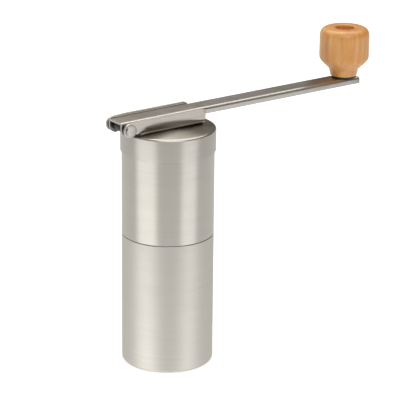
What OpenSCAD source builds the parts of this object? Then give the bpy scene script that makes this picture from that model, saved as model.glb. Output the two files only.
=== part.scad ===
// Hand crank coffee grinder with a folding crank.
// Millimetres, +Z up. The origin is the centre of the base, and the arm points along +X in use.

/* [Container and tube] */
// Outer diameter of the container and of the tube above it
body_d = 53; // [52:0.5:54]
// Sheet thickness of both tubes
tube_wall = 0.8; // [0.6:0.1:0.9]
// Height of the container, which is also where the tube starts
container_h = 77.7; // [76:0.1:80]
// Height of the top edge of the tube, inside the lid
tube_top = 137.5; // [136.5:0.1:138]
// Radius of the container's bottom edge
base_round = 2; // [1.2:0.1:2.2]
// How far the base is pressed up inside its foot ring
base_recess = 1.8; // [1:0.1:2.4]

/* [Lid] */
// Outer diameter of the lid
cap_d = 54.6; // [54.6:0.1:56]
// Height of the lid's top face above the base
cap_top = 141.2; // [141:0.1:142]
// Height of the lid's skirt
cap_h = 13.7; // [11:0.1:15]
// Sheet thickness of the lid's top
cap_plate = 1; // [0.8:0.1:1.2]
// Width of the lid's rounded top edge
cap_round = 1.2; // [1:0.1:1.3]
// Width of the ring inside that edge where the top falls away gently
cap_crown = 6.8; // [5:0.1:8]
// How far the top falls over that ring
cap_fall = 0.25; // [0.1:0.05:0.3]

/* [Bracket] */
// Outer width of the bracket's channel
bracket_w = 16.1; // [16.1:0.1:16.6]
// Sheet thickness of the bracket
bracket_t = 1.5; // [1.2:0.1:1.6]
// Height of the gap between the lid and the bracket
bracket_gap = 1.4; // [1:0.1:2]
// Height of the bracket's walls above its base
bracket_h = 7.9; // [7.5:0.1:8.5]
// Where the bracket's walls end, towards the knob
bracket_end = 19.2; // [15:0.1:25]
// Radius of the walls' upper corners at that end
bracket_corner = 2.2; // [1:0.1:3]
// Where the bracket's base plate starts, clear of the arm's swing
bracket_start = -23; // [-24:0.5:-18]
// Radius of the bracket's round ears at the hinge
ear_r = 4.1; // [3.9:0.1:4.4]

/* [Arm] */
// Outer width of the arm's channel
arm_w = 13; // [12.6:0.1:13]
// Sheet thickness of the arm
arm_t = 1.3; // [1:0.1:1.5]
// Depth of the arm's channel
arm_h = 3.9; // [3.5:0.1:4.5]
// Distance from the grinder's axis back to the hinge pin
hinge_back = 32; // [31.5:0.1:33]
// Distance from the hinge pin to the knob's axis
arm_reach = 160.5; // [160.4:0.1:164]
// Length of the arm past the knob's axis
arm_past_knob = 8.3; // [6:0.1:9]
// Outer radius of the arm's bends
arm_bend = 1.8; // [1.6:0.1:2]
// Radius of the hinge pin
pin_r = 2; // [1.5:0.1:2.2]
// Radius of the hinge pin's heads
pin_head_r = 3.3; // [3:0.05:3.8]
// Thickness of the hinge pin's heads
pin_head_h = 1.4; // [1:0.1:1.6]

/* [Knob] */
// Largest diameter of the knob
knob_d = 29.6; // [28:0.1:30.5]
// Height of the knob
knob_h = 29.1; // [28:0.1:32]
// Diameter of the knob's neck, at the arm
knob_neck_d = 16; // [14:0.1:18]
// Diameter of the recess in the knob's top
knob_recess_d = 11.5; // [11:0.1:12.5]

/* [Burrs] */
// Outer diameter of the burr ring
burr_ring_d = 38; // [36:0.5:38.5]
// Diameter of the cone burr at its foot
cone_d = 32; // [30:0.1:32.2]
// Number of coarse grooves in the cone burr
cone_grooves = 10; // [8:1:12]
// Number of grooves in the burr ring
ring_grooves = 20; // [16:1:24]

/* [Shaft] */
// Distance across the flats of the shaft's hex
shaft_af = 6; // [5.6:0.1:6]
// Radius of the shaft where it runs in its bushes
shaft_r = 3.5; // [3.5:0.05:3.6]
// Height of the shaft's top
shaft_top = 126; // [124:0.5:126]
// Radial clearance of everything that turns or slides
play = 0.05; // [0.03:0.01:0.08]

/* [Hidden] */
$fn = 96;

// Tubes and lid
body_r = body_d / 2;
tube_in = body_r - tube_wall;
seam = 0.3;
tube_start = container_h + seam;
cap_r = cap_d / 2;
cap_in = body_r + 0.1;
cap_under = cap_top - cap_plate;
foot_r = body_r - 3.3;
edge_break = 0.2;
eps = 0.01;

// Crank
bracket_z = cap_top + bracket_gap;
bracket_top = bracket_z + bracket_h;
bracket_bend = bracket_t + 0.5;
ear_low = bracket_z + 0.8;
ear_out = bracket_w / 2;
hinge_drop = 4.5;
hinge_z = bracket_top - hinge_drop;
hinge_x = -hinge_back;
arm_half = arm_w / 2;
arm_top = bracket_top - 0.33;
arm_ear_r = arm_top - hinge_z;
arm_start = hinge_x - arm_ear_r;
knob_x = hinge_x + arm_reach;
arm_end = knob_x + arm_past_knob;
head_washer_h = 1.05;
washer_r = 3.6;
spindle_r = 4;
spindle_neck_r = 3;
bush_r = 6;
boss_r = 9;
boss_z = 128.5;
socket_r = 7;
socket_top = boss_z - 0.9;
socket_h = 10.6;
spindle_washer_r = 7.4;

// Knob
knob_washer_h = 1.1;
knob_washer_r = 7;
knob_z = arm_top + knob_washer_h + play;
knob_top = knob_z + knob_h;
recess_depth = 8;
recess_floor = knob_top - recess_depth;
post_r = 3;
post_neck_r = 2.4;
knob_bush_r = 4.2;

// Grinding parts
hub_r = 6.5;
shaft_bush_r = 4.8;
flange_h = 0.6;
lower_hub_z = 93;
lower_hub_h = 6;
guide_z = 103;
guide_h = 7;
spoke_w = 3;
spoke_from = 5.5;
ring_z = 70.5;
ring_h = 15.5;
cone_z = 70;
cone_h = 14;
driver_r = 9;
driver_tube_r = 6;
driver_z = 68;
driver_top = 84.6;
plate_z = 66.4;
nut_z = 58;
thread_r = 2.5;
ring_r = burr_ring_d / 2;
cone_r = cone_d / 2;
retainer_z = 68.6;
retainer_h = 1.8;
screw_r = 1;
screw_circle = 20.8;
screws = 3;
seat_r = 22.6;
seat_z = lower_hub_z - 1.8;
groove_z = 71;
groove_h = 2;

// Helpers

module ring(r_out, r_in, z, h) {
    translate([0, 0, z])
        difference() {
            cylinder(r = r_out, h = h);
            translate([0, 0, -1])
                cylinder(r = r_in, h = h + 2);
        }
}

module hexagon(af, z, h) {
    translate([0, 0, z])
        cylinder(r = af / sqrt(3), h = h, $fn = 6);
}

// A disc lying across the hinge, from y to y + h
module cross_disc(r, y, h) {
    translate([hinge_x, y + h, hinge_z])
        rotate([90, 0, 0])
            cylinder(r = r, h = h);
}

// Stretches a channel's section, which is drawn in Y and Z, along X
module along_x(from_x, to_x) {
    translate([from_x, 0, 0])
        rotate([90, 0, 90])
            linear_extrude(height = to_x - from_x)
                children();
}

// Cuts an outline, which is drawn in X and Z, through the whole width
module across_y() {
    translate([0, 20, 0])
        rotate([90, 0, 0])
            linear_extrude(height = 40)
                children();
}

// Section of a bent sheet, open on top: half width, height, sheet and outer bend radius
module channel_2d(half, h, sheet, bend) {
    difference() {
        rounded_foot_2d(half, h, bend);
        translate([0, sheet])
            rounded_foot_2d(half - sheet, h, bend - sheet);
    }
}

module rounded_foot_2d(half, h, r) {
    translate([-half, r])
        square([2 * half, h - r]);
    translate([r - half, 0])
        square([2 * (half - r), r + eps]);
    for (side = [-1, 1])
        translate([side * (half - r), r])
            circle(r = r);
}

// A rectangle with the two corners at its right end rounded
module round_end_2d(x0, x1, y0, y1, r) {
    translate([x0, y0])
        square([x1 - x0 - r, y1 - y0]);
    translate([x1 - r - eps, y0 + r])
        square([r + eps, y1 - y0 - 2 * r]);
    for (y = [y0 + r, y1 - r])
        translate([x1 - r, y])
            circle(r = r);
}

// A rectangle with only its upper right corner rounded
module round_corner_2d(x0, x1, y0, y1, r) {
    translate([x0, y0])
        square([x1 - x0 - r, y1 - y0]);
    translate([x0, y0])
        square([x1 - x0, y1 - y0 - r]);
    translate([x1 - r, y1 - r])
        circle(r = r);
}

// Points along a cubic curve with end points a and d and handles b and c
function curve(a, b, c, d, steps) = [
    for (i = [1:steps])
        let (t = i / steps, u = 1 - t)
            u * u * u * a + 3 * u * u * t * b + 3 * u * t * t * c + t * t * t * d
];

// Container: a drawn cup whose floor is pressed up inside a narrow foot ring

module cup_section(r, bottom, round_r) {
    translate([0, bottom])
        square([r - round_r, container_h - bottom]);
    translate([0, bottom + round_r])
        square([r, container_h - bottom - round_r]);
    translate([r - round_r, bottom + round_r])
        circle(r = round_r);
}

module container_cup() {
    floor_top = base_recess + tube_wall;
    color([0.78, 0.77, 0.75])
        rotate_extrude()
            difference() {
                union() {
                    difference() {
                        cup_section(body_r, 0, base_round);
                        translate([-1, 0])
                            square([1, container_h]);
                        cup_section(tube_in, tube_wall, base_round - tube_wall);
                    }
                    square([foot_r + tube_wall, floor_top]);
                }
                translate([-1, -1])
                    square([foot_r + 1, base_recess + 1]);
                polygon([
                    [body_r - edge_break, container_h],
                    [body_r, container_h - edge_break],
                    [body_r + 1, container_h - edge_break],
                    [body_r + 1, container_h + 1],
                    [body_r - edge_break, container_h + 1]
                ]);
            }
}

// Upper tube

module body_tube() {
    color([0.79, 0.78, 0.76])
        rotate_extrude()
            polygon([
                [tube_in, tube_start],
                [body_r - edge_break, tube_start],
                [body_r, tube_start + edge_break],
                [body_r, tube_top - edge_break],
                [body_r - edge_break, tube_top],
                [tube_in, tube_top]
            ]);
}

// Burr housing: plugs into the container, carries the burr ring, and forms the hopper's floor

module spokes(z, h, r_to) {
    for (i = [0:2])
        rotate(120 * i + 60)
            translate([spoke_from, -spoke_w / 2, z])
                cube([r_to - spoke_from, spoke_w, h]);
}

module around_screws() {
    for (i = [0:screws - 1])
        rotate(360 / screws * i)
            translate([screw_circle, 0, retainer_z])
                children();
}

module burr_housing() {
    plug_r = tube_in - 0.4;
    plug_in = tube_in - 2;
    plug_z = 67;
    lip_in = tube_in - 1;
    groove_r = plug_r - 0.9;
    flange_r = body_r - 0.15;
    flange_z = container_h + play;
    hopper_z = 100;
    mouth_z = ring_z + ring_h;
    mouth_top = mouth_z + 2;
    mouth_r = 15;
    color([0.16, 0.16, 0.17])
        difference() {
            union() {
                rotate_extrude()
                    polygon([
                        [ring_r + play, retainer_z + retainer_h],
                        [seat_r, retainer_z + retainer_h],
                        [seat_r, mouth_z],
                        [plug_in, mouth_z],
                        [plug_in, plug_z],
                        [plug_r, plug_z],
                        [plug_r, groove_z],
                        [groove_r, groove_z],
                        [groove_r, groove_z + groove_h],
                        [plug_r, groove_z + groove_h],
                        [plug_r, flange_z],
                        [flange_r, flange_z],
                        [flange_r, tube_start],
                        [tube_in, tube_start],
                        [tube_in, hopper_z],
                        [lip_in, hopper_z],
                        [mouth_r, mouth_top],
                        [mouth_r, mouth_z],
                        [ring_r + play, mouth_z]
                    ]);
                difference() {
                    spokes(lower_hub_z + 1, lower_hub_h - 1.5, 22);
                    rotate_extrude()
                        polygon([
                            [mouth_r, mouth_top],
                            [lip_in, hopper_z],
                            [lip_in + 8, hopper_z],
                            [lip_in + 8, mouth_top]
                        ]);
                }
                translate([0, 0, lower_hub_z])
                    cylinder(r = hub_r, h = lower_hub_h);
            }
            translate([0, 0, lower_hub_z - 1])
                cylinder(r = shaft_bush_r, h = lower_hub_h + 2);
            around_screws()
                cylinder(r = screw_r, h = 8, $fn = 32);
        }
}

module seal_ring() {
    seal_t = 1.3;
    color([0.75, 0.74, 0.72])
        ring(tube_in - 0.08, tube_in - seal_t, groove_z + 0.1, groove_h - 0.2);
}

module burr_retainer() {
    retainer_in = 17.3;
    color([0.2, 0.2, 0.21])
        difference() {
            ring(seat_r, retainer_in, retainer_z, retainer_h);
            around_screws()
                translate([0, 0, -1])
                    cylinder(r = screw_r + 0.15, h = retainer_h + 2, $fn = 32);
        }
}

module retainer_screws() {
    head_h = 1.3;
    slot_w = 0.4;
    color([0.7, 0.7, 0.7])
        around_screws()
            difference() {
                union() {
                    cylinder(r = screw_r, h = 7, $fn = 32);
                    translate([0, 0, -head_h])
                        cylinder(r1 = screw_r + 0.5, r2 = screw_r + 0.9, h = head_h, $fn = 32);
                }
                for (turn = [0, 90])
                    rotate(turn)
                        translate([-screw_r, -slot_w / 2, -head_h - 1])
                            cube([2 * screw_r, slot_w, 1.7]);
            }
}

// Bearings of the shaft

module flanged_bush(z, h) {
    difference() {
        union() {
            translate([0, 0, z])
                cylinder(r = shaft_bush_r, h = h);
            translate([0, 0, z - flange_h])
                cylinder(r = shaft_bush_r + 1.2, h = flange_h);
        }
        translate([0, 0, z - 2])
            cylinder(r = shaft_r + play, h = h + 4);
    }
}

module lower_bush() {
    color([0.72, 0.56, 0.3])
        flanged_bush(lower_hub_z, lower_hub_h);
}

module upper_bush() {
    color([0.72, 0.56, 0.3])
        flanged_bush(guide_z, guide_h);
}

module shaft_guide() {
    rim_t = 1.6;
    color([0.18, 0.18, 0.19])
        difference() {
            union() {
                ring(tube_in, tube_in - rim_t, guide_z + 1, guide_h - 1);
                spokes(guide_z + 1, guide_h - 2.5, tube_in - 1);
                translate([0, 0, guide_z])
                    cylinder(r = hub_r, h = guide_h);
            }
            translate([0, 0, guide_z - 1])
                cylinder(r = shaft_bush_r, h = guide_h + 2);
        }
}

// Burrs

// A ridge-shaped cutter for one groove, which leans inwards and sweeps round
module groove(r, z, depth, length, sweep, lean) {
    translate([r, 0, z])
        rotate([sweep, -lean, 0])
            cylinder(r = depth, h = length, $fn = 4);
}

module outer_burr() {
    burr_top = ring_z + ring_h - 0.1;
    color([0.93, 0.92, 0.89])
        difference() {
            rotate_extrude()
                polygon([
                    [cone_r + 0.9, ring_z],
                    [ring_r, ring_z],
                    [ring_r, burr_top],
                    [cone_r - 0.8, burr_top],
                    [cone_r - 2, ring_z + 9.5],
                    [cone_r + 0.4, ring_z + 2.5]
                ]);
            for (i = [0:ring_grooves - 1])
                rotate(360 / ring_grooves * i)
                    groove(cone_r + 0.7, ring_z - 1, 0.9, ring_h + 3, 14, 10);
        }
}

module inner_burr() {
    cone_tip_r = 8;
    slope = atan2(cone_r - cone_tip_r, cone_h);
    color([0.93, 0.92, 0.89])
        difference() {
            rotate_extrude()
                polygon([
                    [driver_tube_r, cone_z],
                    [cone_r, cone_z],
                    [cone_r - 0.6, cone_z + 2.5],
                    [cone_tip_r, cone_z + cone_h],
                    [driver_tube_r, cone_z + cone_h]
                ]);
            for (i = [0:cone_grooves - 1])
                rotate(360 / cone_grooves * i)
                    groove(cone_r + 0.2, cone_z + 1.5, 1.7, cone_h + 3, 22, slope);
        }
}

module burr_driver() {
    color([0.3, 0.3, 0.31])
        difference() {
            union() {
                translate([0, 0, driver_z])
                    cylinder(r = driver_r, h = cone_z - driver_z);
                translate([0, 0, driver_z])
                    cylinder(r = driver_tube_r, h = driver_top - driver_z);
            }
            hexagon(shaft_af + 2 * play, driver_z - 1, driver_top - driver_z + 2);
        }
}

module click_plate() {
    clicks = 12;
    click_circle = 7.6;
    dimple_r = 0.8;
    dimple_sink = 0.3;
    color([0.7, 0.69, 0.67])
        difference() {
            ring(driver_r, shaft_r + 0.2, plate_z, driver_z - plate_z);
            for (i = [0:clicks - 1])
                rotate(360 / clicks * i)
                    translate([click_circle, 0, plate_z - dimple_sink])
                        sphere(r = dimple_r, $fn = 24);
        }
}

// Grind setting: a lobed nut on the shaft's thread, under the cone burr

module adjust_nut() {
    lobes = 10;
    nut_h = plate_z - nut_z - 0.1;
    nut_r = 11;
    boss_h = 1.5;
    boss_low_r = 6;
    boss_high_r = 7;
    finger_r = 3;
    finger_out = nut_r + 1.6;
    color([0.17, 0.17, 0.18])
        difference() {
            union() {
                translate([0, 0, nut_z + boss_h])
                    cylinder(r = nut_r, h = nut_h - boss_h);
                translate([0, 0, nut_z])
                    cylinder(r1 = boss_low_r, r2 = boss_high_r, h = boss_h);
            }
            for (i = [0:lobes - 1])
                rotate(360 / lobes * i)
                    translate([finger_out, 0, nut_z - 1])
                        cylinder(r = finger_r, h = nut_h + 2, $fn = 48);
            translate([0, 0, nut_z - 1])
                cylinder(r = thread_r + play, h = nut_h + 2);
        }
}

// Shaft

module grinder_shaft() {
    shaft_low = 55;
    hex_low = driver_z + 0.1;
    round_low = 91;
    round_high = guide_z + guide_h + 2;
    color([0.74, 0.74, 0.74])
        union() {
            translate([0, 0, shaft_low])
                cylinder(r = thread_r, h = hex_low - shaft_low);
            hexagon(shaft_af, hex_low, round_low - hex_low);
            translate([0, 0, round_low])
                cylinder(r = shaft_r, h = round_high - round_low);
            hexagon(shaft_af, round_high, shaft_top - round_high);
        }
}

module shaft_clip() {
    clip_z = lower_hub_z + lower_hub_h + 0.1;
    clip_r = 5.8;
    clip_h = 0.8;
    mouth = 3.6;
    color([0.6, 0.6, 0.6])
        difference() {
            ring(clip_r, shaft_r, clip_z, clip_h);
            translate([0, -mouth / 2, clip_z - 1])
                cube([clip_r + 1, mouth, clip_h + 2]);
        }
}

module spring_seat() {
    disc_r = 6.4;
    disc_h = 1;
    color([0.7, 0.69, 0.67])
        ring(disc_r, shaft_r, seat_z, disc_h);
}

// A round wire wound into a helix, swept as rings of points
module burr_spring() {
    wire_r = 0.45;
    mean_r = 5.2;
    turns = 4;
    steps = 20 * turns;
    sides = 8;
    gap = 0.1;
    low = driver_top + wire_r + gap;
    high = seat_z - wire_r - gap;
    points = [
        for (i = [0:steps])
            for (k = [0:sides - 1])
                let (
                    a = 360 * turns * i / steps,
                    b = 360 * k / sides,
                    r = mean_r + wire_r * cos(b)
                )
                    [r * cos(a), r * sin(a), low + (high - low) * i / steps + wire_r * sin(b)]
    ];
    sides_list = [
        for (i = [0:steps - 1])
            for (k = [0:sides - 1])
                let (n = (k + 1) % sides)
                    [i * sides + k, (i + 1) * sides + k, (i + 1) * sides + n, i * sides + n]
    ];
    ends = [
        [for (k = [0:sides - 1]) k],
        [for (k = [sides - 1:-1:0]) steps * sides + k]
    ];
    color([0.65, 0.65, 0.66])
        polyhedron(points = points, faces = concat(sides_list, ends));
}

// Lid

module cap_shell() {
    skirt_z = cap_top - cap_h;
    edge_r = cap_r - cap_round;
    edge_z = cap_top - cap_fall;
    side_z = edge_z - cap_round;
    crown_start = [edge_r - cap_crown, cap_top];
    crown_end = [edge_r, edge_z];
    crown = curve(
        crown_start, crown_start + [cap_crown / 2, 0],
        crown_end + [-cap_round, cap_fall / 2], crown_end, 8
    );
    edge = curve(
        crown_end, crown_end + [cap_round / 2, -cap_fall / 4],
        [cap_r, side_z + cap_round / 2], [cap_r, side_z], 8
    );
    color([0.78, 0.77, 0.75])
        rotate_extrude()
            polygon(concat(
                [[bush_r, cap_under], [bush_r, cap_top], crown_start],
                crown,
                edge,
                [[cap_r, skirt_z], [cap_in, skirt_z], [cap_in, cap_under]]
            ));
}

module cap_liner() {
    plate_low = tube_top + 0.7;
    overlap = 0.5;
    plug_low = 131;
    plug_r = tube_in - 0.08;
    plug_t = 1.6;
    ribs = 6;
    rib_t = 1.6;
    rib_z = 134;
    color([0.15, 0.15, 0.16])
        difference() {
            union() {
                ring(cap_in - play, bush_r, plate_low, cap_under - plate_low);
                ring(plug_r, plug_r - plug_t, plug_low, plate_low - plug_low + overlap);
                translate([0, 0, boss_z])
                    cylinder(r = boss_r, h = plate_low - boss_z + overlap);
                for (i = [0:ribs - 1])
                    rotate(360 / ribs * i)
                        translate([boss_r - 1, -rib_t / 2, rib_z])
                            cube([plug_r - boss_r, rib_t, plate_low - rib_z + overlap]);
            }
            translate([0, 0, boss_z - 1])
                cylinder(r = bush_r, h = 20);
        }
}

module spindle_bush() {
    color([0.72, 0.56, 0.3])
        ring(bush_r, spindle_r + play, boss_z, cap_top - boss_z);
}

// Crank

module thrust_washer() {
    color([0.12, 0.12, 0.13])
        ring(spindle_washer_r, spindle_r, cap_top + play, bracket_gap - play);
}

module socket_washer() {
    color([0.9, 0.89, 0.86])
        ring(spindle_washer_r, spindle_r, socket_top, 0.8);
}

module drive_spindle() {
    head_h = 1.3;
    plate_top = bracket_z + bracket_t;
    color([0.74, 0.74, 0.74])
        difference() {
            union() {
                translate([0, 0, socket_top - socket_h])
                    cylinder(r = socket_r, h = socket_h);
                translate([0, 0, socket_top - 1])
                    cylinder(r = spindle_r, h = bracket_z - socket_top + 1);
                translate([0, 0, bracket_z - 1])
                    cylinder(r = spindle_neck_r, h = bracket_t + 2);
                translate([0, 0, plate_top])
                    cylinder(r1 = 4.4, r2 = 3.4, h = head_h);
            }
            hexagon(shaft_af + 0.2, socket_top - socket_h - 1, socket_h);
        }
}

// One of the bracket's walls past its base plate, running out into a round ear
module bracket_ear(side) {
    overlap = 2;
    translate([0, side * (ear_out - bracket_t / 2) + bracket_t / 2, 0])
        rotate([90, 0, 0])
            linear_extrude(height = bracket_t) {
                translate([hinge_x, hinge_z])
                    circle(r = ear_r);
                polygon([
                    [hinge_x, ear_low],
                    [bracket_start, ear_low],
                    [bracket_start, bracket_z + bracket_bend],
                    [bracket_start + overlap, bracket_z + bracket_bend],
                    [bracket_start + overlap, bracket_top],
                    [bracket_start, bracket_top],
                    [hinge_x, hinge_z + ear_r]
                ]);
            }
}

module crank_bracket() {
    color([0.72, 0.71, 0.69])
        difference() {
            union() {
                intersection() {
                    along_x(bracket_start, bracket_end)
                        translate([0, bracket_z])
                            channel_2d(ear_out, bracket_h, bracket_t, bracket_bend);
                    across_y()
                        round_corner_2d(
                            bracket_start - 1, bracket_end,
                            bracket_z - 1, bracket_top, bracket_corner
                        );
                }
                for (side = [-1, 1])
                    bracket_ear(side);
            }
            cross_disc(pin_r, -ear_out - 1, bracket_w + 2);
            translate([0, 0, bracket_z - 1])
                cylinder(r = spindle_neck_r, h = bracket_t + 2);
        }
}

module hinge_pin() {
    head_at = ear_out + head_washer_h;
    chamfer = 0.3;
    color([0.8, 0.8, 0.79])
        union() {
            cross_disc(pin_r, -head_at - eps, 2 * (head_at + eps));
            for (side = [-1, 1])
                translate([hinge_x, side * head_at, hinge_z])
                    rotate([-90 * side, 0, 0]) {
                        cylinder(r = pin_head_r, h = pin_head_h - chamfer);
                        translate([0, 0, pin_head_h - chamfer])
                            cylinder(r1 = pin_head_r, r2 = pin_head_r - chamfer, h = chamfer);
                    }
        }
}

// The friction washers under the pin's heads
module head_washers() {
    color([0.12, 0.12, 0.13])
        for (y = [-ear_out - head_washer_h, ear_out])
            difference() {
                cross_disc(washer_r, y, head_washer_h);
                cross_disc(pin_r, y - 1, head_washer_h + 2);
            }
}

// Arm: an inverted channel with a closed, rounded end and deeper ears at the hinge

// The solid that the arm's sheet is bent round, or its outside
module arm_form(half, top, end, bend) {
    low = hinge_z - arm_ear_r - 1;
    intersection() {
        along_x(arm_start - 1, end)
            translate([0, top])
                mirror([0, 1])
                    rounded_foot_2d(half, top - low, bend);
        across_y()
            round_corner_2d(arm_start - 2, end, low - 1, top, bend);
        linear_extrude(height = top + 1)
            round_end_2d(arm_start - 2, end, -half, half, bend);
    }
}

module crank_arm() {
    inner_bend = arm_bend - arm_t;
    color([0.75, 0.74, 0.72])
        difference() {
            intersection() {
                arm_form(arm_half, arm_top, arm_end, arm_bend);
                across_y() {
                    translate([hinge_x, hinge_z])
                        circle(r = arm_ear_r);
                    translate([arm_start, arm_top - arm_h])
                        square([arm_end - arm_start + 1, arm_h + 1]);
                }
            }
            arm_form(arm_half - arm_t, arm_top - arm_t, arm_end - arm_t, inner_bend);
            cross_disc(pin_r + play, -arm_half - 1, arm_w + 2);
            translate([knob_x, 0, arm_top - arm_t - 1])
                cylinder(r = post_neck_r, h = arm_t + 2);
        }
}

module pin_sleeve() {
    half = arm_half - arm_t - play;
    sleeve_t = 0.7;
    color([0.78, 0.77, 0.74])
        difference() {
            cross_disc(pin_r + sleeve_t, -half, 2 * half);
            cross_disc(pin_r + play, -half - 1, 2 * half + 2);
        }
}

// Riveted under the arm's web, with a socket head in the knob's recess
module knob_post() {
    rivet_h = 0.9;
    head_z = recess_floor + 0.1;
    head_h = 1.6;
    color([0.78, 0.78, 0.78])
        translate([knob_x, 0, 0])
            union() {
                translate([0, 0, arm_top - arm_t - rivet_h])
                    cylinder(r1 = post_r, r2 = post_r + 0.6, h = rivet_h);
                translate([0, 0, arm_top - arm_t])
                    cylinder(r = post_neck_r, h = arm_t + 0.1);
                translate([0, 0, arm_top])
                    cylinder(r = post_r, h = head_z + play - arm_top);
                difference() {
                    translate([0, 0, head_z])
                        cylinder(r1 = 4.9, r2 = 4.4, h = head_h);
                    translate([0, 0, head_z + 0.6])
                        cylinder(r = 1.7, h = head_h, $fn = 6);
                }
            }
}

module knob_washer() {
    color([0.12, 0.12, 0.13])
        translate([knob_x, 0, 0])
            ring(knob_washer_r, post_r, arm_top, knob_washer_h);
}

// Knob: a straight taper from its neck to an upright side, and a broad rounded brow
module knob() {
    neck = knob_neck_d / 2;
    full = knob_d / 2;
    recess = knob_recess_d / 2;
    taper_z = 3.4;
    side_z = 10.4;
    brow_z = knob_h - 5.4;
    brow_r = full - 5.2;
    taper_start = [neck + 0.6, taper_z];
    taper_end = [full - 0.5, side_z - 0.5];
    side_start = [full, side_z + 1.6];
    flare = curve(taper_start, [neck + 1.1, 4.9], [full - 1.9, 7.6], taper_end, 10);
    corner = curve(taper_end, [full - 0.1, side_z + 0.2], [full, side_z + 0.8], side_start, 6);
    brow = curve([full, brow_z], [full, knob_h - 1.8], [full - 1.7, knob_h], [brow_r, knob_h], 14);
    outline = concat(
        [[knob_bush_r, 0], [neck - 0.3, 0], [neck, 0.35], taper_start],
        flare,
        corner,
        [[full, brow_z]],
        brow,
        [[recess + 0.5, knob_h], [recess, knob_h - 0.5]],
        [[recess - 0.3, knob_h - recess_depth], [knob_bush_r, knob_h - recess_depth]]
    );
    color([0.83, 0.6, 0.36])
        translate([knob_x, 0, knob_z])
            rotate_extrude()
                polygon(outline);
}

module knob_bush() {
    color([0.72, 0.56, 0.3])
        translate([knob_x, 0, 0])
            ring(knob_bush_r, post_r + play, knob_z, recess_floor - knob_z);
}

container_cup();
body_tube();
burr_housing();
seal_ring();
outer_burr();
burr_retainer();
retainer_screws();
lower_bush();
shaft_guide();
upper_bush();
cap_shell();
cap_liner();
spindle_bush();
thrust_washer();
crank_bracket();
drive_spindle();
socket_washer();
hinge_pin();
head_washers();
crank_arm();
pin_sleeve();
knob_post();
knob_washer();
knob();
knob_bush();
grinder_shaft();
shaft_clip();
spring_seat();
burr_spring();
inner_burr();
burr_driver();
click_plate();
adjust_nut();
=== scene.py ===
"""Looks of the hand crank coffee grinder: steel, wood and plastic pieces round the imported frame."""

import math

import bmesh
import bpy
from mathutils import Matrix, Vector


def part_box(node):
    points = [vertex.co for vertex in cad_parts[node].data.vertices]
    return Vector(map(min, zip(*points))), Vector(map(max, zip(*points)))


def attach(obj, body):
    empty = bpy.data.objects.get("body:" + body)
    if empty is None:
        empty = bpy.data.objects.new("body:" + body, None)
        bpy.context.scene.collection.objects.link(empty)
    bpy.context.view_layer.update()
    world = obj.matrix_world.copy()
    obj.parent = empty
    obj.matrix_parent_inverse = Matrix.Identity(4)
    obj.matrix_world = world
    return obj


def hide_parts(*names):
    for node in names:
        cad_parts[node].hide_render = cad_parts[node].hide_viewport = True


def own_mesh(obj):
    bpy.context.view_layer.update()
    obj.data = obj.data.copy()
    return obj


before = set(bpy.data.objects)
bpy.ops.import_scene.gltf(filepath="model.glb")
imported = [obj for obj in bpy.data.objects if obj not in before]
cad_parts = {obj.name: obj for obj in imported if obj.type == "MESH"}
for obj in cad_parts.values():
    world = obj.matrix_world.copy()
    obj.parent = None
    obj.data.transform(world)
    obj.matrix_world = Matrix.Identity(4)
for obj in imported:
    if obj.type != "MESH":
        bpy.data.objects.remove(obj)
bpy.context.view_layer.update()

MM = 0.001
LATHE_STEPS = 192


# ---------------------------------------------------------------- the frame's own sizes

def span(node):
    """Lowest and highest corner of a CAD node, in millimetres."""
    low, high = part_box(node)
    return low / MM, high / MM


_, cup_high = span("container_cup")
tube_low, tube_high = span("body_tube")
cap_low, cap_high = span("cap_shell")
bracket_low, bracket_high = span("crank_bracket")
arm_low, arm_high = span("crank_arm")
knob_low, knob_high = span("knob")
pin_low, pin_high = span("hinge_pin")
spring_low, spring_high = span("burr_spring")

BODY_R = tube_high.x
CAP_R = cap_high.x
TUBE_WALL = 0.8
TUBE_IN = BODY_R - TUBE_WALL
CAP_TOP = cap_high.z
HINGE_X = (pin_low.x + pin_high.x) / 2
HINGE_Z = (pin_low.z + pin_high.z) / 2
KNOB_X = (knob_low.x + knob_high.x) / 2
ARM_TOP = arm_high.z


# ---------------------------------------------------------------- mesh tools

def fillet(corners, steps=6):
    """Rounds a closed outline. Each corner is (x, y) or (x, y, radius)."""
    count = len(corners)
    outline = []
    for i, corner in enumerate(corners):
        here = Vector(corner[:2])
        radius = corner[2] if len(corner) > 2 else 0
        if radius == 0:
            outline.append(here)
            continue
        before = (Vector(corners[i - 1][:2]) - here).normalized()
        after = (Vector(corners[(i + 1) % count][:2]) - here).normalized()
        half = before.angle(after) / 2
        reach = radius / math.tan(half)
        start = here + before * reach
        end = here + after * reach
        centre = here + (before + after).normalized() * (radius / math.sin(half))
        a = start - centre
        b = end - centre
        turn = a.angle(b)
        for k in range(steps + 1):
            t = k / steps
            mix = (a * math.sin((1 - t) * turn) + b * math.sin(t * turn)) / math.sin(turn)
            outline.append(centre + mix)
    return outline


def curve_points(a, b, c, d, steps):
    """Points along a cubic curve, without its first point."""
    points = []
    for i in range(1, steps + 1):
        t = i / steps
        u = 1 - t
        points.append(tuple(
            u ** 3 * a[k] + 3 * u * u * t * b[k] + 3 * u * t * t * c[k] + t ** 3 * d[k]
            for k in range(2)))
    return points


def make_object(name, mesh, materials, body, replaced=()):
    """Links a finished mesh, in metres, as a piece that rides on a body.

    A mesh from sheet_mesh has its materials already.
    """
    piece = bpy.data.objects.new(name, mesh)
    bpy.context.scene.collection.objects.link(piece)
    for material in materials:
        mesh.materials.append(material)
    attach(piece, body)
    if replaced:
        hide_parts(*replaced)
    return piece


def smooth(mesh, sharp_degrees=32):
    """Shades a mesh smooth, with hard edges where its faces turn more sharply."""
    mesh.polygons.foreach_set("use_smooth", [True] * len(mesh.polygons))
    mesh.set_sharp_from_angle(angle=math.radians(sharp_degrees))


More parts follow.
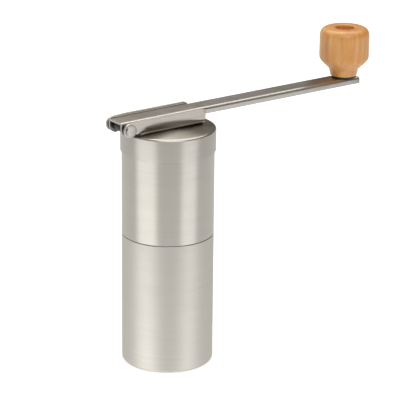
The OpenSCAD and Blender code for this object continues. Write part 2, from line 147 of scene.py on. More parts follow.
def mesh_from(name, bm, sharp_degrees=32):
    """Ends a bmesh as a mesh with its normals outwards."""
    bmesh.ops.recalc_face_normals(bm, faces=bm.faces)
    mesh = bpy.data.meshes.new(name)
    bm.to_mesh(mesh)
    bm.free()
    smooth(mesh, sharp_degrees)
    return mesh


def lathe(name, outline, centre=(0, 0, 0), matrix=None, steps=LATHE_STEPS):
    """Turns a closed outline of (radius, height) in millimetres about +Z, then places it."""
    bm = bmesh.new()
    on_axis = 1e-6
    rings = []
    for r, z in outline:
        if r < on_axis:
            vert = bm.verts.new((0, 0, z))
            rings.append([vert] * steps)
        else:
            rings.append([
                bm.verts.new((r * math.cos(a), r * math.sin(a), z))
                for a in (math.tau * k / steps for k in range(steps))])
    for i, ring in enumerate(rings):
        other = rings[(i + 1) % len(rings)]
        for k in range(steps):
            n = (k + 1) % steps
            corners = []
            for vert in (ring[k], ring[n], other[n], other[k]):
                if vert not in corners:
                    corners.append(vert)
            if len(corners) > 2:
                bm.faces.new(corners)
    place = Matrix.Translation(Vector(centre)) @ (matrix or Matrix.Identity(4))
    bmesh.ops.transform(bm, matrix=Matrix.Scale(MM, 4) @ place, verts=bm.verts)
    return mesh_from(name, bm)


def sheet_mesh(name, patches, thickness, edge, materials, inner=0, rim=0):
    """A bent sheet: patches of points on its outer face, in millimetres, thickened inwards.

    A patch is (rows, skip), and skip(i, j) leaves out the quad between rows i and i + 1 and
    columns j and j + 1. inner and rim pick the materials of the inner face and the cut edge.
    """
    weld = 1e-7
    bm = bmesh.new()
    for rows, skip in patches:
        verts = [[bm.verts.new(Vector(p) * MM) for p in row] for row in rows]
        for i in range(len(rows) - 1):
            for j in range(len(rows[0]) - 1):
                if not skip(i, j):
                    bm.faces.new((verts[i][j], verts[i][j + 1], verts[i + 1][j + 1], verts[i + 1][j]))
    loose = [v for v in bm.verts if not v.link_faces]
    bmesh.ops.delete(bm, geom=loose, context="VERTS")
    bmesh.ops.remove_doubles(bm, verts=bm.verts, dist=weld)
    mesh = bpy.data.meshes.new(name)
    bm.to_mesh(mesh)
    bm.free()
    for material in materials:
        mesh.materials.append(material)
    draft = bpy.data.objects.new(name + "_draft", mesh)
    bpy.context.scene.collection.objects.link(draft)
    solid = draft.modifiers.new("sheet", "SOLIDIFY")
    solid.thickness = thickness * MM
    solid.offset = -1
    solid.use_even_offset = True
    solid.material_offset = inner
    solid.material_offset_rim = rim
    bevel = draft.modifiers.new("edges", "BEVEL")
    bevel.width = edge * MM
    bevel.segments = 3
    bevel.limit_method = "ANGLE"
    bevel.angle_limit = math.radians(50)
    done = bpy.data.meshes.new_from_object(
        draft.evaluated_get(bpy.context.evaluated_depsgraph_get()))
    bpy.data.objects.remove(draft)
    done.name = name
    smooth(done, 40)
    return done


def spaced(start, end, count):
    """Evenly spaced numbers, both ends among them."""
    return [start + (end - start) * i / (count - 1) for i in range(count)]


# ---------------------------------------------------------------- materials

class Nodes:
    """Short ways to add and join the shader nodes of one material or world."""

    def __init__(self, owner, shader, coordinates):
        owner.use_nodes = True
        self.tree = owner.node_tree
        self.shader = self.tree.nodes[shader]
        self.place = self.add("ShaderNodeTexCoord").outputs[coordinates]

    def add(self, kind, **settings):
        made = self.tree.nodes.new(kind)
        for key, value in settings.items():
            setattr(made, key, value)
        return made

    def feed(self, socket, value):
        """Links a socket to another one, or sets it to a plain value."""
        if isinstance(value, bpy.types.NodeSocket):
            self.tree.links.new(value, socket)
        else:
            socket.default_value = value

    def math(self, operation, a, b=0.0):
        node = self.add("ShaderNodeMath", operation=operation)
        self.feed(node.inputs[0], a)
        self.feed(node.inputs[1], b)
        return node.outputs[0]

    def split(self, vector):
        node = self.add("ShaderNodeSeparateXYZ")
        self.feed(node.inputs[0], vector)
        return node.outputs

    def join(self, x, y, z):
        node = self.add("ShaderNodeCombineXYZ")
        for socket, value in zip(node.inputs, (x, y, z)):
            self.feed(socket, value)
        return node.outputs[0]

    def scaled(self, vector, scale):
        node = self.add("ShaderNodeMapping")
        self.feed(node.inputs["Vector"], vector)
        node.inputs["Scale"].default_value = scale
        return node.outputs[0]

    def noise(self, vector, scale=1.0, detail=2.0, roughness=0.5, distortion=0.0):
        node = self.add("ShaderNodeTexNoise")
        self.feed(node.inputs["Vector"], vector)
        node.inputs["Scale"].default_value = scale
        node.inputs["Detail"].default_value = detail
        node.inputs["Roughness"].default_value = roughness
        node.inputs["Distortion"].default_value = distortion
        return node.outputs["Fac"]

    def ramp(self, value, stops):
        """A colour ramp: stops are (position, colour)."""
        node = self.add("ShaderNodeValToRGB")
        elements = node.color_ramp.elements
        while len(elements) < len(stops):
            elements.new(0.5)
        for element, (position, colour) in zip(elements, stops):
            element.position = position
            element.color = (*colour, 1)
        self.feed(node.inputs["Fac"], value)
        return node.outputs["Color"]

    def spread(self, value, low, high, new_low, new_high, easing="LINEAR"):
        """Maps the range low to high onto new_low to new_high, and holds the ends."""
        node = self.add("ShaderNodeMapRange", interpolation_type=easing)
        self.feed(node.inputs["Value"], value)
        for key, number in (("From Min", low), ("From Max", high),
                            ("To Min", new_low), ("To Max", new_high)):
            node.inputs[key].default_value = number
        return node.outputs["Result"]

    def blend_colours(self, amount, a, b, mode="MIX"):
        """Mixes two colours: the mix node's sockets for colours are 6 and 7, and 2 is its result."""
        node = self.add("ShaderNodeMix", data_type="RGBA", blend_type=mode)
        self.feed(node.inputs["Factor"], amount)
        for socket, value in ((node.inputs[6], a), (node.inputs[7], b)):
            self.feed(socket, value if isinstance(value, bpy.types.NodeSocket) else (*value, 1))
        return node.outputs[2]

    def bump(self, height, strength, distance):
        node = self.add("ShaderNodeBump")
        node.inputs["Strength"].default_value = strength
        node.inputs["Distance"].default_value = distance
        self.feed(node.inputs["Height"], height)
        self.feed(self.shader.inputs["Normal"], node.outputs["Normal"])

    def set(self, **values):
        """Shader inputs by name, with underscores for spaces."""
        for key, value in values.items():
            self.feed(self.shader.inputs[key.replace("_", " ")], value)


class Material(Nodes):
    """A material that is placed by object coordinates, so noise scales are per metre."""

    def __init__(self, name):
        self.material = bpy.data.materials.new(name)
        super().__init__(self.material, "Principled BSDF", "Object")


def turned_steel(name, base, dark, rough, anisotropic):
    """Steel brushed round the Z axis: fine lines round its sides, rings on its flat faces."""
    line_scale = 4200
    band_scale = line_scale / 9
    swirl = 42
    n = Material(name)
    x, y, z = n.split(n.place)
    radius = n.math("SQRT", n.math("ADD", n.math("MULTIPLY", x, x), n.math("MULTIPLY", y, y)))
    round_it = n.math("ADD", n.math("MULTIPLY", x, swirl), n.math("MULTIPLY", y, swirl * 0.7))
    lines = n.noise(n.join(n.math("MULTIPLY", radius, line_scale),
                           n.math("MULTIPLY", z, line_scale), round_it), detail=3, roughness=0.65)
    bands = n.noise(n.join(n.math("MULTIPLY", radius, band_scale),
                           n.math("MULTIPLY", z, band_scale), round_it), detail=2)
    handling = n.noise(n.place, scale=38, detail=3, roughness=0.6, distortion=0.4)
    tone = n.math("ADD", n.math("MULTIPLY", lines, 0.8), n.math("MULTIPLY", bands, 0.2))
    n.set(Metallic=1.0, Anisotropic=anisotropic, Anisotropic_Rotation=0.25,
          Base_Color=n.ramp(tone, [(0.3, dark), (0.7, base)]),
          Roughness=n.math("ADD", n.spread(tone, 0.25, 0.75, rough + 0.04, rough - 0.04),
                           n.spread(handling, 0.3, 0.75, -0.015, 0.03)))
    tangent = n.add("ShaderNodeTangent", direction_type="RADIAL", axis="Z")
    n.feed(n.shader.inputs["Tangent"], tangent.outputs[0])
    n.bump(lines, 0.22, 0.00002)
    return n.material


def rolled_steel(name, base, dark, rough, anisotropic=0.0):
    """Polished sheet: faint lines along its rolling direction, X, and a few handling marks."""
    n = Material(name)
    lines = n.noise(n.scaled(n.place, (40, 5200, 5200)), detail=3, roughness=0.6)
    smudge = n.noise(n.place, scale=55, detail=4, roughness=0.62, distortion=0.6)
    n.set(Metallic=1.0,
          Base_Color=n.blend_colours(n.spread(lines, 0.3, 0.7, 0.0, 1.0), dark, base),
          Roughness=n.math("ADD", n.spread(lines, 0.3, 0.7, rough + 0.03, rough - 0.03),
                           n.spread(smudge, 0.45, 0.8, 0.0, 0.08)))
    rolling = n.add("ShaderNodeVectorTransform", vector_type="VECTOR", convert_from="OBJECT",
                    convert_to="WORLD")
    rolling.inputs[0].default_value = (1, 0, 0)
    n.set(Anisotropic=anisotropic, Anisotropic_Rotation=0.25, Tangent=rolling.outputs[0])
    n.bump(lines, 0.12, 0.00002)
    return n.material


def machined_steel(name, base, rough):
    """Small turned parts: tight tool marks and a slight mottling."""
    n = Material(name)
    marks = n.noise(n.scaled(n.place, (2600, 2600, 2600)), detail=2)
    mottle = n.noise(n.place, scale=420, detail=3, roughness=0.6)
    n.set(Metallic=1.0,
          Base_Color=n.blend_colours(n.spread(mottle, 0.3, 0.7, 0.0, 1.0),
                                     tuple(c * 0.86 for c in base), base),
          Roughness=n.spread(marks, 0.3, 0.7, rough - 0.05, rough + 0.07))
    n.bump(marks, 0.1, 0.00003)
    return n.material


def beech(name, shade=(1, 1, 1)):
    """Oiled beech turned with the grain upright: growth bands, fine fibres and short dark flecks."""
    n = Material(name)
    x, y, z = n.split(n.place)
    drift = n.noise(n.scaled(n.place, (60, 60, 14)), detail=2)
    across = n.math("ADD", n.math("MULTIPLY", x, 560), n.math("MULTIPLY", drift, 6.5))
    growth = n.noise(n.join(across, n.math("MULTIPLY", y, 300), n.math("MULTIPLY", z, 14)),
                     detail=3, roughness=0.6)
    fibres = n.noise(n.scaled(n.place, (3400, 3400, 110)), detail=3, roughness=0.6)
    streaks = n.noise(n.scaled(n.place, (1250, 1250, 42)), detail=2, roughness=0.55)
    flecks = n.noise(n.scaled(n.place, (1500, 1500, 190)), detail=1, roughness=0.4)
    blush = n.noise(n.place, scale=65, detail=2)
    wood = n.ramp(growth, [(0.3, (0.73, 0.32, 0.075)), (0.5, (0.88, 0.42, 0.11)),
                           (0.7, (0.95, 0.55, 0.17))])
    wood = n.blend_colours(n.spread(blush, 0.35, 0.7, 0.0, 0.5), wood, (0.86, 0.335, 0.085))
    wood = n.blend_colours(n.spread(streaks, 0.5, 0.72, 0.0, 0.28), wood, (0.60, 0.23, 0.06))
    wood = n.blend_colours(n.spread(fibres, 0.35, 0.75, 0.0, 0.24), wood, (0.5, 0.2, 0.06))
    wood = n.blend_colours(n.spread(flecks, 0.68, 0.8, 0.0, 0.45), wood, (0.36, 0.13, 0.04))
    n.set(Base_Color=n.blend_colours(1.0, wood, shade, "MULTIPLY"),
          Roughness=n.spread(fibres, 0.3, 0.7, 0.34, 0.48),
          Specular_IOR_Level=0.45, Coat_Weight=0.85, Coat_Roughness=0.38)
    n.bump(n.math("SUBTRACT", fibres, n.math("MULTIPLY", flecks, 0.5)), 0.25, 0.00006)
    return n.material


def moulded(name, colour, rough, strength=0.2, specular=0.5):
    """Moulded plastic or rubber with a fine spark-eroded grain and slightly rubbed high spots."""
    n = Material(name)
    fine = n.noise(n.place, scale=3600, detail=2)
    broad = n.noise(n.place, scale=70, detail=3)
    lighter = tuple(min(1.0, c * 1.5 + 0.006) for c in colour)
    n.set(Base_Color=n.blend_colours(n.spread(broad, 0.4, 0.75, 0.0, 0.35), colour, lighter),
          Roughness=n.spread(fine, 0.3, 0.7, rough - 0.06, rough + 0.06),
          Specular_IOR_Level=specular)
    n.bump(fine, strength, 0.00004)
    return n.material


def fired_ceramic(name):
    """Unglazed technical ceramic: off-white, faintly speckled, stained by coffee in the pores."""
    n = Material(name)
    pores = n.noise(n.place, scale=3200, detail=2)
    stain = n.noise(n.place, scale=120, detail=4, roughness=0.65)
    body = n.blend_colours(n.spread(stain, 0.5, 0.85, 0.0, 0.5),
                           (0.83, 0.81, 0.75), (0.55, 0.42, 0.28))
    n.set(Base_Color=body, Roughness=n.spread(pores, 0.3, 0.7, 0.42, 0.6), Specular_IOR_Level=0.5)
    n.bump(pores, 0.2, 0.00004)
    return n.material


def sintered_bronze(name):
    """Porous bronze, slightly tarnished."""
    n = Material(name)
    pores = n.noise(n.place, scale=5200, detail=2)
    tarnish = n.noise(n.place, scale=260, detail=3)
    n.set(Metallic=1.0, Roughness=n.spread(pores, 0.3, 0.7, 0.3, 0.5),
          Base_Color=n.blend_colours(n.spread(tarnish, 0.35, 0.75, 0.0, 1.0),
                                     (0.62, 0.42, 0.2), (0.4, 0.25, 0.12)))
    n.bump(pores, 0.3, 0.00003)
    return n.material


BRUSHED = turned_steel("brushed_steel", (0.685, 0.655, 0.595), (0.62, 0.592, 0.535),
                       rough=0.30, anisotropic=0.72)
# The cup's steel is lighter and duller than the tube's: partly its own brushing, partly a painted
# reflection of the pale floor.
CUP_STEEL_WITH_FLOOR_SHEEN = turned_steel("brushed_cup_steel_floor_sheen", (0.77, 0.738, 0.672), (0.70, 0.67, 0.61),
                         rough=0.47, anisotropic=0.1)
CAP_STEEL = turned_steel("brushed_cap_steel", (0.66, 0.63, 0.572), (0.59, 0.563, 0.508),
                         rough=0.33, anisotropic=0.8)
ARM_STEEL = rolled_steel("polished_arm_steel", (0.60, 0.575, 0.54), (0.53, 0.51, 0.48),
                         rough=0.29, anisotropic=0.8)
BRACKET_STEEL = rolled_steel("satin_bracket_steel", (0.47, 0.445, 0.405), (0.41, 0.388, 0.352),
                             rough=0.15)
# Darker steel for the arm channel's inner face: painted shade inside the channel.
SHADED_INNER_STEEL = rolled_steel("painted_shade_inner_steel", (0.25, 0.237, 0.215), (0.19, 0.18, 0.164),
                           rough=0.35)
# Lighter steel for the bracket's cut edges: painted highlight along the wall tops.
HIGHLIT_CUT_STEEL = rolled_steel("painted_highlight_cut_steel", (0.7, 0.67, 0.62), (0.58, 0.555, 0.51), rough=0.42)
PIN_STEEL = machined_steel("turned_pin_steel", (0.52, 0.495, 0.455), rough=0.22)
# Near-black steel for the hinge sleeve: painted shade of the dark hinge interior.
SHADE_DARK_SLEEVE_STEEL = machined_steel("painted_shade_sleeve_steel", (0.1, 0.095, 0.086), rough=0.2)
SPRING_STEEL = machined_steel("bright_spring_steel", (0.5, 0.5, 0.5), rough=0.25)
SHAFT_STEEL = machined_steel("machined_shaft_steel", (0.58, 0.58, 0.58), rough=0.24)
BEECH = beech("oiled_beech")
# Darker beech for the knob's recess: painted shade inside the recess.
SHADED_RECESS_BEECH = beech("painted_shade_recess_beech", shade=(1.0, 0.84, 0.78))
BLACK = moulded("black_nylon", (0.034, 0.029, 0.024), rough=0.42, specular=0.4)
NATURAL = moulded("natural_acetal", (0.7, 0.68, 0.62), rough=0.4)
SILICONE = moulded("grey_silicone", (0.42, 0.41, 0.39), rough=0.5, strength=0.1)
CERAMIC = fired_ceramic("burr_ceramic")
BRONZE = sintered_bronze("sintered_bronze")

CAD_MATERIALS = {
    "burr_housing": BLACK, "burr_retainer": BLACK, "shaft_guide": BLACK, "cap_liner": BLACK,
    "burr_driver": BLACK, "adjust_nut": BLACK, "seal_ring": SILICONE, "outer_burr": CERAMIC,
    "inner_burr": CERAMIC, "lower_bush": BRONZE, "upper_bush": BRONZE, "spindle_bush": BRONZE,
    "knob_bush": BRONZE, "thrust_washer": BLACK, "socket_washer": NATURAL,
    "knob_washer": BLACK, "retainer_screws": SHAFT_STEEL, "drive_spindle": SHAFT_STEEL,
    "grinder_shaft": SHAFT_STEEL, "spring_seat": SHAFT_STEEL, "click_plate": SHAFT_STEEL,
    "shaft_clip": SPRING_STEEL, "burr_spring": SPRING_STEEL, "head_washers": BLACK,
    # the sleeve's near-black steel is painted shade
    "knob_post": PIN_STEEL, "pin_sleeve": SHADE_DARK_SLEEVE_STEEL, "hinge_pin": PIN_STEEL,
    "container_cup": CUP_STEEL_WITH_FLOOR_SHEEN, "body_tube": BRUSHED, "cap_shell": CAP_STEEL,
    "crank_bracket": BRACKET_STEEL, "crank_arm": ARM_STEEL, "knob": BEECH,
}
for node_name, node_material in CAD_MATERIALS.items():
    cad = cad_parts[node_name]
    cad.data.materials.clear()
    cad.data.materials.append(node_material)


# ---------------------------------------------------------------- camera

ARM_TURN = 35.444  # degrees that the arm is swung away from the camera's right
CAMERA_AZIMUTH = -90 - round(ARM_TURN, 1)


def place_camera():
    """Camera a little above the grinder, with the arm swung away to its right."""
    distance = 1145.35 * MM
    height = 489.07 * MM
    arm_turn = math.radians(ARM_TURN)
    yaw = math.radians(0.949) + arm_turn
    pitch = math.radians(18.929)
    roll = math.radians(0.581)
    forward = Vector((math.sin(yaw) * math.cos(pitch), math.cos(yaw) * math.cos(pitch),
                      -math.sin(pitch)))
    flat = Vector((math.cos(yaw), -math.sin(yaw), 0))
    up = flat.cross(forward)
    right = flat * math.cos(roll) + up * math.sin(roll)
    up = up * math.cos(roll) - flat * math.sin(roll)
    data = bpy.data.cameras.new("camera")
    data.sensor_width = 36
    data.lens = 189.2
    camera = bpy.data.objects.new("camera", data)
    bpy.context.scene.collection.objects.link(camera)
    spot = Vector((-distance * math.sin(arm_turn), -distance * math.cos(arm_turn), height))
    turn = Matrix((right, up, -forward)).transposed().to_4x4()
    camera.matrix_world = Matrix.Translation(spot) @ turn
    bpy.context.scene.camera = camera


place_camera()


# ---------------------------------------------------------------- turned steel shells

def build_container():
    """Drawn cup: rounded bottom edge, a foot ring and a floor pressed up inside it."""
    floor = 1.8
    foot_in = BODY_R - 3.3
    well = foot_in + TUBE_WALL
    rim = cup_high.z
    outer_round = 2.0
    inner_round = outer_round - TUBE_WALL
    foot_round = 0.5
    outline = fillet([
        (0, floor), (foot_in, floor, foot_round), (foot_in, 0, foot_round),
        (BODY_R, 0, outer_round), (BODY_R, rim, 0.25), (TUBE_IN, rim, 0.15),
        (TUBE_IN, TUBE_WALL, inner_round), (well, TUBE_WALL, 0.3),
        (well, floor + TUBE_WALL, 0.4), (0, floor + TUBE_WALL)])
    mesh = lathe("container", outline)
    # the cup's lighter steel is partly a painted reflection of the pale floor
    return make_object("container_shell", mesh, [CUP_STEEL_WITH_FLOOR_SHEEN], "container",
                       ["container_cup"])


def build_tube():
    """Plain tube with its edges broken."""
    low, high = tube_low.z, tube_high.z
    broken = 0.25
    outline = fillet([(TUBE_IN, low, 0.1), (BODY_R, low, broken), (BODY_R, high, broken),
                      (TUBE_IN, high, broken)])
    mesh = lathe("tube", outline)
    return make_object("upper_tube", mesh, [BRUSHED], "grinder_body", ["body_tube"])


def build_cap():
    """Lid: its top falls away gently towards a rounded edge, and the skirt's edge is broken."""
    skirt = cap_low.z
    inside = BODY_R + 0.1
    under = CAP_TOP - 1
    hole = 6
    edge = 1.2
    fall = 0.25
    crown = 6.8
    edge_r = CAP_R - edge
    edge_z = CAP_TOP - fall
    side_z = edge_z - edge
    outline = fillet([(hole, under), (inside, under, 0.3), (inside, skirt, 0.15),
                      (CAP_R, skirt, 0.35), (CAP_R, side_z)])
    outline += curve_points((CAP_R, side_z), (CAP_R, side_z + edge / 2),
                            (edge_r + edge / 2, edge_z - fall / 4), (edge_r, edge_z), 14)
    outline += curve_points((edge_r, edge_z), (edge_r - edge, edge_z + fall / 2),
                            (edge_r - crown / 2, CAP_TOP), (edge_r - crown, CAP_TOP), 14)
    outline += [(hole, CAP_TOP)]
    mesh = lathe("cap", outline)
    return make_object("lid_shell", mesh, [CAP_STEEL], "lid", ["cap_shell"])


build_container()
build_tube()
build_cap()


# ---------------------------------------------------------------- bracket and arm

def quarter_bend(radius, steps=8):
    """A bend from an upright wall to a flat web: (distance in from the wall, rise) pairs."""
    turns = [math.radians(90) * i / steps for i in range(steps + 1)]
    return [(radius - radius * math.cos(a), radius * math.sin(a)) for a in turns]


EAR_STEPS = 28


def keep_all(i, j):
    """The skip of a patch that keeps every quad."""
    return False


def build_arm():
    """Inverted channel: a bent-down, closed end under the knob, deeper round ears at the hinge."""
    half = arm_high.y
    sheet = 1.3
    bend = 1.8
    depth = 3.9
    ear = HINGE_X - arm_low.x
    start, end = arm_low.x, arm_high.x
    bend_z = ARM_TOP - bend
    broken_edge = 0.2
    flat_half = half - bend
    flat_end = end - bend

    def edge_low(x):
        straight = ARM_TOP - depth
        if abs(x - HINGE_X) >= ear:
            return straight
        return min(straight, HINGE_Z - math.sqrt(ear * ear - (x - HINGE_X) ** 2))

    ear_stations = [start + ear * (1 - math.cos(math.pi * i / EAR_STEPS))
                    for i in range(EAR_STEPS + 1)]
    along = ear_stations + spaced(HINGE_X + ear, flat_end, 26)[1:]
    across = spaced(-flat_half, flat_half, 7)
    corner_turns = spaced(0, 90, 11)[1:-1]
    # stations round the arm: a point on the flat top's rim, and the way out from it
    path = [((x, -flat_half), (0, -1)) for x in along]
    path += [((flat_end, -flat_half), (math.sin(math.radians(a)), -math.cos(math.radians(a))))
             for a in corner_turns]
    path += [((flat_end, y), (1, 0)) for y in across]
    path += [((flat_end, flat_half), (math.cos(math.radians(a)), math.sin(math.radians(a))))
             for a in corner_turns]
    path += [((x, flat_half), (0, 1)) for x in reversed(along)]
    rows = []
    for share in (0, 0.5):
        row = []
        for (x, y), (out_x, out_y) in path:
            low = edge_low(x)
            row.append((x + out_x * bend, y + out_y * bend, low + (bend_z - low) * share))
        rows.append(row)
    for inward, rise in quarter_bend(bend):
        reach = bend - inward
        rows.append([(x + out_x * reach, y + out_y * reach, bend_z + rise)
                     for (x, y), (out_x, out_y) in path])
    top = [[(x, y, ARM_TOP) for x in along] for y in across]
    # the inner face gets the darker steel, painted shade inside the channel
    mesh = sheet_mesh("arm", [(rows, keep_all), (top, keep_all)], sheet, broken_edge,
                      [ARM_STEEL, SHADED_INNER_STEEL], inner=1)
    return make_object("crank_arm_channel", mesh, [], "arm", ["crank_arm"])


def build_bracket():
    """Open channel under the arm: walls that run on past its base plate into round ears."""
    half = bracket_high.y
    sheet = 1.5
    bend = 2.0
    broken_edge = 0.12
    ear = HINGE_X - bracket_low.x
    above_lid = 1.4
    base_z = CAP_TOP + above_lid
    wall_top = bracket_high.z
    plate_start = -23
    end = bracket_high.x
    corner = 2.2
    corner_steps = 8
    bend_z = base_z + bend
    ear_low = base_z + 0.8
    slope = (wall_top - HINGE_Z - ear) / (plate_start - HINGE_X)

    def ear_rise(x):
        return math.sqrt(max(0.0, ear * ear - (x - HINGE_X) ** 2))

    def wall_high(x):
        if x < HINGE_X:
            return HINGE_Z + ear_rise(x)
        over = max(0.0, x - (end - corner))
        dip = corner - math.sqrt(max(0.0, corner * corner - over * over))
        return min(wall_top - dip, HINGE_Z + ear + (x - HINGE_X) * slope)

    def wall_low(x):
        return max(bend_z, HINGE_Z - ear_rise(x)) if x < HINGE_X else bend_z

    def flap_low(x):
        low = HINGE_Z - ear_rise(x)
        return low if x < HINGE_X else min(low, ear_low)

    ears = [HINGE_X - ear * math.cos(math.pi * i / EAR_STEPS) for i in range(EAR_STEPS + 1)]
    ears += spaced(HINGE_X + ear, plate_start, 4)[1:]
    tip = [end - corner + corner * math.sin(math.pi / 2 * i / corner_steps)
           for i in range(corner_steps + 1)]
    stations = ears + spaced(plate_start, end - corner, 14)[1:-1] + tip
    plate_at = len(ears) - 1
    side = [(-half + inward, bend_z - rise) for inward, rise in quarter_bend(bend)]
    web = [(y, base_z) for y in spaced(-half + bend, half - bend, 5)[1:-1]]
    section = side + web + [(-y, z) for y, z in reversed(side)]

    def wall_row(sign, share):
        row = []
        for x in stations:
            low, high = wall_low(x), wall_high(x)
            row.append((x, sign * half, high + (low - high) * share))
        return row

    rows = [wall_row(-1, 0), wall_row(-1, 0.5), wall_row(-1, 1)]
    rows += [[(x, y, z) for x in stations] for y, z in section[1:-1]]
    rows += [wall_row(1, 1), wall_row(1, 0.5), wall_row(1, 0)]
    first, last = 2, len(rows) - 3

    def skip(i, j):
        return first <= i < last and j < plate_at

    flaps = []
    for sign in (-1, 1):
        flap = [[(x, sign * half, wall_low(x)) for x in ears],
                [(x, sign * half, flap_low(x)) for x in ears]]
        flaps.append((flap if sign < 0 else flap[::-1], keep_all))
    # the cut edges get the lighter steel, a painted highlight
    mesh = sheet_mesh("bracket", [(rows, skip)] + flaps, sheet, broken_edge,
                      [BRACKET_STEEL, HIGHLIT_CUT_STEEL], rim=1)
    return make_object("bracket_channel", mesh, [], "crank", ["crank_bracket"])


def build_pin():
    """Riveted pin with broad, slightly domed heads, lying across the hinge."""
    reach = pin_high.y
    head = pin_high.x - HINGE_X
    head_thick = 1.4
    head_low = reach - head_thick
    shank = 2
    dome = 0.1
    dome_flat = head * 0.55
    upper = [(shank, head_low), (head, head_low, 0.15), (head, reach - dome, 0.35),
             (dome_flat, reach), (0, reach)]
    lower = [(r, -z, *radius) for r, z, *radius in reversed(upper)]
    outline = fillet(lower + upper)
    mesh = lathe("pin", outline, centre=(HINGE_X, 0, HINGE_Z),
                 matrix=Matrix.Rotation(math.radians(90), 4, "X"), steps=96)
    return make_object("hinge_rivet", mesh, [PIN_STEEL], "crank", ["hinge_pin"])


build_arm()
build_bracket()
build_pin()


# ---------------------------------------------------------------- knob

def build_knob():
    """Turned knob: a straight taper from its neck, an upright side, a broad brow and a recess."""
    full = (knob_high.x - knob_low.x) / 2
    tall = knob_high.z - knob_low.z
    neck = 8
    recess = 5.75
    recess_deep = 8
    recess_draft = 0.3
    recess_floor = tall - recess_deep
    bore = 4.2
    neck_edge = 0.45
    side_low, side_high = 12, 17.6
    brow_low = tall - 5.4
    lip = 1.1
    taper_start = (neck + 0.6, 3.4)
    taper_end = (full - 0.5, 9.9)
    outline = [(bore, 0), (neck - neck_edge, 0), (neck - 0.12, 0.12), (neck, neck_edge), taper_start]
    outline += curve_points(taper_start, (neck + 1.1, 4.9), (full - 1.9, 7.6), taper_end, 14)
    outline += curve_points(taper_end, (full - 0.1, 10.6), (full, 11.2), (full, side_low), 8)
    outline += [(full, side_high), (full, brow_low)]
    outline += curve_points((full, brow_low), (full, tall - 1.8), (full - 1.7, tall),
                            (full - 5.2, tall), 20)
    outline += [(recess + lip, tall)]
    outline += curve_points((recess + lip, tall), (recess + 0.4, tall), (recess, tall - 0.4),
                            (recess, tall - lip), 6)
    outline += [(recess - recess_draft, recess_floor), (bore, recess_floor)]
    mesh = lathe("knob", outline, centre=(KNOB_X, 0, knob_low.z))
    # Faces inside the recess get the darker beech: painted shade of the recess.
    for face in mesh.polygons:
        x, y, z = face.center / MM
        in_recess = math.hypot(x - KNOB_X, y) < recess and z > knob_low.z + recess_floor - 0.1
        face.material_index = int(in_recess)
    return make_object("beech_knob", mesh, [BEECH, SHADED_RECESS_BEECH], "knob", ["knob"])


build_knob()


# ---------------------------------------------------------------- burr spring

def build_spring():
    """Round wire wound into a helix."""
    wire = 0.45
    low, high = spring_low.z, spring_high.z
    coil = spring_high.x - wire
    turns = 4
    steps_per_turn = 56
    steps = steps_per_turn * turns
    sides = 16
    bm = bmesh.new()
    rings = []
    for i in range(steps + 1):
        turn = math.tau * turns * i / steps
        height = low + wire + (high - low - 2 * wire) * i / steps
        ring = []
        for k in range(sides):
            around = math.tau * k / sides
            reach = coil + wire * math.cos(around)
            ring.append(bm.verts.new(Vector((
                reach * math.cos(turn), reach * math.sin(turn),
                height + wire * math.sin(around))) * MM))
        rings.append(ring)
    for a, b in zip(rings, rings[1:]):
        for k in range(sides):
            n = (k + 1) % sides
            bm.faces.new((a[k], b[k], b[n], a[n]))
    bm.faces.new(rings[0])
    bm.faces.new(rings[-1][::-1])
    mesh = mesh_from("spring", bm, 60)
    piece = make_object("burr_spring_wire", mesh, [SPRING_STEEL], "rotor",
                        ["burr_spring"])
    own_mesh(piece)


build_spring()


# ---------------------------------------------------------------- stage and light

def make_floor():
    """Pale floor. Glossy and diffuse rays pass it and find the surround's pale lower half."""
    half_size = 6
    bm = bmesh.new()
    bmesh.ops.create_grid(bm, x_segments=2, y_segments=2, size=half_size)
    mesh = bpy.data.meshes.new("floor")
    bm.to_mesh(mesh)
    bm.free()
    floor = bpy.data.objects.new("floor", mesh)
    bpy.context.scene.collection.objects.link(floor)
    n = Material("pale_floor")
    n.set(Base_Color=(0.9, 0.9, 0.9, 1), Roughness=0.9, Specular_IOR_Level=0.1,
          Emission_Color=(1, 1, 1, 1), Emission_Strength=0.5)
    mesh.materials.append(n.material)
    floor.visible_glossy = False
    floor.visible_diffuse = False
    floor.visible_shadow = False


def softbox(name, azimuth, elevation, width, height, power):
    """An area light that faces the middle of the grinder. Azimuth 0 is the arm's side (+X)."""
    distance = 2.0
    target = Vector((0, 0, 0.08))
    data = bpy.data.lights.new(name, "AREA")
    data.shape = "RECTANGLE"
    data.size = width
    data.size_y = height
    data.energy = power
    a, e = math.radians(azimuth), math.radians(elevation)
    away = Vector((math.cos(a) * math.cos(e), math.sin(a) * math.cos(e), math.sin(e)))
    lamp = bpy.data.objects.new(name, data)
    bpy.context.scene.collection.objects.link(lamp)
    lamp.location = target + away * distance
    lamp.rotation_mode = "QUATERNION"
    lamp.rotation_quaternion = away.to_track_quat("Z", "Y")


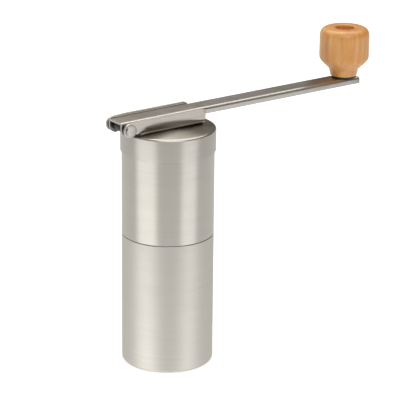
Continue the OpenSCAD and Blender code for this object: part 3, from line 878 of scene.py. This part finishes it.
def make_surround(below, walls, ceiling, low_panels, high_panels):
    """Studio surround: a pale lower half, dim walls above the horizon and a light ceiling.

    A panel is (azimuth, half width, edge, strength), in degrees. Low panels reach up to the
    horizon, and high panels start there. The ceiling is weaker on the camera's side.
    """
    horizon = 0.06
    ceiling_start, ceiling_full = 0.56, 0.72
    front_share = 0.3
    world = bpy.data.worlds.new("studio")
    bpy.context.scene.world = world
    n = Nodes(world, "Background", "Generated")
    x, y, z = n.split(n.place)
    flat = n.math("SQRT", n.math("ADD", n.math("MULTIPLY", x, x), n.math("MULTIPLY", y, y)))
    down = n.spread(z, -horizon, horizon, 1, 0, "SMOOTHSTEP")
    up = n.math("SUBTRACT", 1.0, down)
    level = n.math("ADD", n.math("MULTIPLY", down, below), n.math("MULTIPLY", up, walls))
    rear = math.radians(CAMERA_AZIMUTH + 180)
    behind = n.math("ADD", n.math("MULTIPLY", x, math.cos(rear)),
                    n.math("MULTIPLY", y, math.sin(rear)))
    rise = n.spread(z, ceiling_start, ceiling_full, 0, ceiling - walls, "SMOOTHSTEP")
    overhead = n.math("MULTIPLY", rise,
                      n.spread(behind, -0.5, 0.3, front_share, 1, "SMOOTHSTEP"))
    level = n.math("ADD", level, overhead)
    for mask, panels in ((down, low_panels), (up, high_panels)):
        for azimuth, half, edge, strength in panels:
            a = math.radians(azimuth)
            along = n.math("ADD", n.math("MULTIPLY", x, math.cos(a)),
                           n.math("MULTIPLY", y, math.sin(a)))
            facing = n.math("DIVIDE", along, flat)
            low, high = (math.cos(math.radians(half + side * edge)) for side in (1, -1))
            panel = n.spread(facing, low, high, 0, strength, "SMOOTHSTEP")
            level = n.math("ADD", level, n.math("MULTIPLY", panel, mask))
    n.set(Strength=level, Color=n.blend_colours(up, (1.0, 1.0, 1.0), (1.0, 0.91, 0.79)))


make_floor()
softbox("rear_softbox", azimuth=CAMERA_AZIMUTH + 180, elevation=66, width=2.2, height=1.6, power=18)
softbox("front_softbox", azimuth=CAMERA_AZIMUTH + 10, elevation=46, width=1.9, height=0.9, power=14)
make_surround(
    below=0.69, walls=0.09, ceiling=0.72,
    low_panels=[(CAMERA_AZIMUTH - 56, 25, 10, 0.74), (CAMERA_AZIMUTH + 55, 19, 8, 0.56)],
    high_panels=[(CAMERA_AZIMUTH + 180 + 42, 38, 13, 0.34)])

view_settings = bpy.context.scene.view_settings
view_settings.view_transform = "Standard"
view_settings.look = "None"
view_settings.exposure = 0.0
